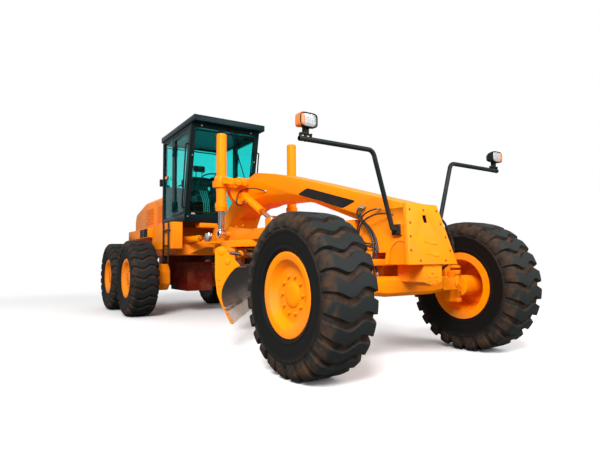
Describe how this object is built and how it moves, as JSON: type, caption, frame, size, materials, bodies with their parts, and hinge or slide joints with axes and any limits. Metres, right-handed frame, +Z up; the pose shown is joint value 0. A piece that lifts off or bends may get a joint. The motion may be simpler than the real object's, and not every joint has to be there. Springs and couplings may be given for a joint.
{
  "type": "motor grader",
  "caption": "Articulated motor grader with a long arched front beam, leaning steered front wheels, tandem rear drive, glazed cab and a blade under a turning circle.",
  "frame": {"origin": "on the ground under the middle of the machine's bounding box", "axes": "+X forward, +Y to the machine's left, +Z up"},
  "size_m": [8.8999, 2.645, 3.3249],
  "materials": {
    "orange_paint": "glossy orange paint on plate and castings",
    "cab_paint": "dark satin paint on the cab's posts and roof",
    "black_paint": "black satin paint on tubes and housings",
    "red_paint": "dull dark red primer on the axle and gearbox",
    "tyre_rubber": "black ribbed rubber with dusty grooves",
    "bright_rod": "polished chromed rod",
    "blade_steel": "worn dark rolled steel with a lighter cutting edge",
    "cab_glass": "blue-green tinted glass",
    "seat_fabric": "dark woven seat cloth"
  },
  "bodies": {
    "chassis": {"rear_frame": "orange_paint", "hood": "orange_paint", "deck_right": "orange_paint", "deck_left": "orange_paint", "ladder_right": "black_paint", "ladder_left": "black_paint", "cab_shell": "cab_paint", "windscreen": "cab_glass", "rear_pane": "cab_glass", "side_pane_right": "cab_glass", "side_pane_left": "cab_glass", "seat": "seat_fabric", "console": "black_paint", "drive_axle": "red_paint", "tandem_case_right": "orange_paint", "tandem_case_left": "orange_paint"},
    "front": {"front_frame": "orange_paint", "front_axle": "orange_paint", "lift_barrel_right": "orange_paint", "lift_barrel_left": "orange_paint", "lamp_arm_right": "black_paint", "lamp_arm_left": "black_paint"},
    "draft": {"draft_frame": "orange_paint"},
    "turning_circle": {"circle": "orange_paint"},
    "tilting_carrier": {"blade_carrier": "orange_paint"},
    "shifting_blade": {"blade": "blade_steel", "side_shift_rod": "bright_rod"},
    "lean_bar": {"lean_link": "orange_paint"},
    "centre_barrel": {"centre_shift_barrel": "orange_paint"},
    "centre_rod": {"centre_shift_rod": "bright_rod"},
    "articulation_tube_right": {"articulation_barrel_right": "orange_paint"},
    "articulation_ram_right": {"articulation_rod_right": "bright_rod"},
    "articulation_tube_left": {"articulation_barrel_left": "orange_paint"},
    "articulation_ram_left": {"articulation_rod_left": "bright_rod"},
    "leaning_right": {"lean_fork_right": "orange_paint"},
    "steering_right": {"knuckle_right": "orange_paint"},
    "front_wheel_right": {"front_rim_right": "orange_paint", "front_tyre_right": "tyre_rubber"},
    "middle_wheel_right": {"middle_rim_right": "orange_paint", "middle_tyre_right": "tyre_rubber"},
    "rear_wheel_right": {"rear_rim_right": "orange_paint", "rear_tyre_right": "tyre_rubber"},
    "lift_ram_right": {"lift_rod_right": "bright_rod"},
    "leaning_left": {"lean_fork_left": "orange_paint"},
    "steering_left": {"knuckle_left": "orange_paint"},
    "front_wheel_left": {"front_rim_left": "orange_paint", "front_tyre_left": "tyre_rubber"},
    "middle_wheel_left": {"middle_rim_left": "orange_paint", "middle_tyre_left": "tyre_rubber"},
    "rear_wheel_left": {"rear_rim_left": "orange_paint", "rear_tyre_left": "tyre_rubber"},
    "lift_ram_left": {"lift_rod_left": "bright_rod"},
    "swinging_door_right": {"door_right": "cab_paint", "door_pane_right": "cab_glass"},
    "swinging_door_left": {"door_left": "cab_paint", "door_pane_left": "cab_glass"}
  },
  "joints": [
    {"name": "articulation", "type": "hinge", "parent": "chassis", "child": "front", "pos_m": [-0.377, 0, 1.155], "axis": [0, 0, 1], "range_deg": [-25, 25]},
    {"name": "articulation_swing_right", "type": "hinge", "parent": "chassis", "child": "articulation_tube_right", "pos_m": [-0.877, -0.45, 1.34], "axis": [0, 0, 1], "range_deg": [-14, 14]},
    {"name": "articulation_stroke_right", "type": "slide", "parent": "articulation_tube_right", "child": "articulation_ram_right", "axis": [1, 0, 0], "range_m": [-0.2, 0.2]},
    {"name": "articulation_swing_left", "type": "hinge", "parent": "chassis", "child": "articulation_tube_left", "pos_m": [-0.877, 0.45, 1.34], "axis": [0, 0, 1], "range_deg": [-14, 14]},
    {"name": "articulation_stroke_left", "type": "slide", "parent": "articulation_tube_left", "child": "articulation_ram_left", "axis": [1, 0, 0], "range_m": [-0.2, 0.2]},
    {"name": "lean_right", "type": "hinge", "parent": "front", "child": "leaning_right", "pos_m": [3.773, -0.66, 0.71], "axis": [1, 0, 0], "range_deg": [-17, 17]},
    {"name": "steer_right", "type": "hinge", "parent": "leaning_right", "child": "steering_right", "pos_m": [3.773, -0.81, 0.677], "axis": [0, 0, 1], "range_deg": [-40, 40]},
    {"name": "front_wheel_spin_right", "type": "hinge", "parent": "steering_right", "child": "front_wheel_right", "pos_m": [3.773, -1.085, 0.677], "axis": [0, 1, 0], "continuous": true},
    {"name": "middle_wheel_spin_right", "type": "hinge", "parent": "chassis", "child": "middle_wheel_right", "pos_m": [-1.657, -1.085, 0.677], "axis": [0, 1, 0], "continuous": true},
    {"name": "rear_wheel_spin_right", "type": "hinge", "parent": "chassis", "child": "rear_wheel_right", "pos_m": [-3.197, -1.085, 0.677], "axis": [0, 1, 0], "continuous": true},
    {"name": "lean_left", "type": "hinge", "parent": "front", "child": "leaning_left", "pos_m": [3.773, 0.66, 0.71], "axis": [1, 0, 0], "range_deg": [-17, 17]},
    {"name": "steer_left", "type": "hinge", "parent": "leaning_left", "child": "steering_left", "pos_m": [3.773, 0.81, 0.677], "axis": [0, 0, 1], "range_deg": [-40, 40]},
    {"name": "front_wheel_spin_left", "type": "hinge", "parent": "steering_left", "child": "front_wheel_left", "pos_m": [3.773, 1.085, 0.677], "axis": [0, 1, 0], "continuous": true},
    {"name": "middle_wheel_spin_left", "type": "hinge", "parent": "chassis", "child": "middle_wheel_left", "pos_m": [-1.657, 1.085, 0.677], "axis": [0, 1, 0], "continuous": true},
    {"name": "rear_wheel_spin_left", "type": "hinge", "parent": "chassis", "child": "rear_wheel_left", "pos_m": [-3.197, 1.085, 0.677], "axis": [0, 1, 0], "continuous": true},
    {"name": "lean_bar_slide", "type": "slide", "parent": "front", "child": "lean_bar", "axis": [0, -1, 0], "range_m": [-0.066, 0.066]},
    {"name": "draft_lift", "type": "hinge", "parent": "front", "child": "draft", "pos_m": [3.303, 0, 1], "axis": [0, 1, 0], "range_deg": [-17, 3.5]},
    {"name": "lift_stroke_right", "type": "slide", "parent": "front", "child": "lift_ram_right", "axis": [0, 0, 1], "range_m": [-0.70419, 0.14578]},
    {"name": "lift_stroke_left", "type": "slide", "parent": "front", "child": "lift_ram_left", "axis": [0, 0, 1], "range_m": [-0.70419, 0.14578]},
    {"name": "centre_shift_swing", "type": "hinge", "parent": "front", "child": "centre_barrel", "pos_m": [1.123, -0.3, 1.86], "axis": [0, 1, 0], "range_deg": [-4.74, 23]},
    {"name": "centre_shift_stroke", "type": "slide", "parent": "centre_barrel", "child": "centre_rod", "axis": [0.8873, 0, -0.4612], "range_m": [-0.0459, 0.22292]},
    {"name": "circle_turn", "type": "hinge", "parent": "draft", "child": "turning_circle", "pos_m": [1.123, 0, 1.195], "axis": [0, 0, 1], "continuous": true},
    {"name": "blade_pitch", "type": "hinge", "parent": "turning_circle", "child": "tilting_carrier", "pos_m": [0.88511, -0.34613, 0.92], "axis": [-0.8241, 0.5664, 0], "range_deg": [-5, 40]},
    {"name": "blade_shift", "type": "slide", "parent": "tilting_carrier", "child": "shifting_blade", "axis": [-0.8241, 0.5664, 0], "range_m": [-0.6, 0.4]},
    {"name": "door_swing_right", "type": "hinge", "parent": "chassis", "child": "swinging_door_right", "pos_m": [-1.073, -0.638, 2.4], "axis": [0, 0, -1], "range_deg": [0, 90]},
    {"name": "door_swing_left", "type": "hinge", "parent": "chassis", "child": "swinging_door_left", "pos_m": [-1.073, 0.638, 2.4], "axis": [0, 0, 1], "range_deg": [0, 90]}
  ],
  "couplings": [
    {"joint": "articulation_swing_right", "follows": "articulation", "ratio": 0.5098},
    {"joint": "articulation_stroke_right", "follows": "articulation", "m_per_rad": 0.45},
    {"joint": "articulation_swing_left", "follows": "articulation", "ratio": 0.5098},
    {"joint": "articulation_stroke_left", "follows": "articulation", "m_per_rad": -0.45},
    {"joint": "lean_left", "follows": "lean_right", "ratio": 1},
    {"joint": "steer_left", "follows": "steer_right", "ratio": 1},
    {"joint": "lean_bar_slide", "follows": "lean_right", "m_per_rad": 0.22},
    {"joint": "lift_stroke_right", "follows": "draft_lift", "m_per_rad": 2.37},
    {"joint": "lift_stroke_left", "follows": "draft_lift", "m_per_rad": 2.37},
    {"joint": "centre_shift_swing", "follows": "draft_lift", "ratio": -1.3515},
    {"joint": "centre_shift_stroke", "follows": "draft_lift", "m_per_rad": -0.74388}
  ]
}
